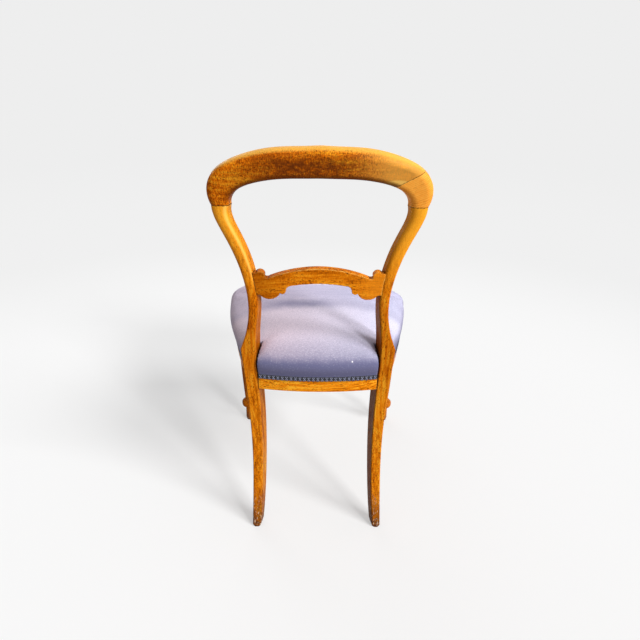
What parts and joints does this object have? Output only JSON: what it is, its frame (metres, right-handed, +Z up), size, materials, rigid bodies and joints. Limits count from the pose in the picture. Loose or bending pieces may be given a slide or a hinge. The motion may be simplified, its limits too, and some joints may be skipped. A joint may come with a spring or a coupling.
{
  "type": "balloon back chair",
  "caption": "Balloon-back dining chair with sabre rear legs, turned front legs and a stuffed-over seat edged with braid.",
  "frame": {"origin": "on the floor, under the middle of the chair's bounding box", "axes": "+Z up, +Y towards the back of the chair, +X to the sitter's left"},
  "size_m": [0.4994, 0.523, 0.8813],
  "materials": {
    "oak": "waxed golden oak with darker patina on the crest",
    "pale_oak": "waxed oak, a paler glued-on corner",
    "beech": "bare, unfinished hardwood",
    "velvet": "short-pile velvet, pale mauve",
    "braid": "dark navy scalloped braid",
    "stuffing": "loose fibre stuffing",
    "hessian": "coarse brown hessian",
    "webbing": "herringbone jute webbing"
  },
  "bodies": {
    "root": {"corner_brace_front_left": "beech", "corner_brace_front_right": "beech", "corner_brace_rear_left": "beech", "corner_brace_rear_right": "beech", "crest_corner_block": "pale_oak", "crest_dowels": "beech", "crest_rail": "oak", "cross_rail": "oak", "front_braid": "braid", "front_leg_left": "oak", "front_leg_right": "oak", "front_seat_rail": "oak", "hessian": "hessian", "rear_braid": "braid", "rear_leg_left": "oak", "rear_leg_right": "oak", "rear_seat_rail": "oak", "seat_cover": "velvet", "side_seat_rail_left": "oak", "side_seat_rail_right": "oak", "stuffing": "stuffing", "webbing_front_to_back": "webbing", "webbing_side_to_side": "webbing"}
  },
  "joints": []
}
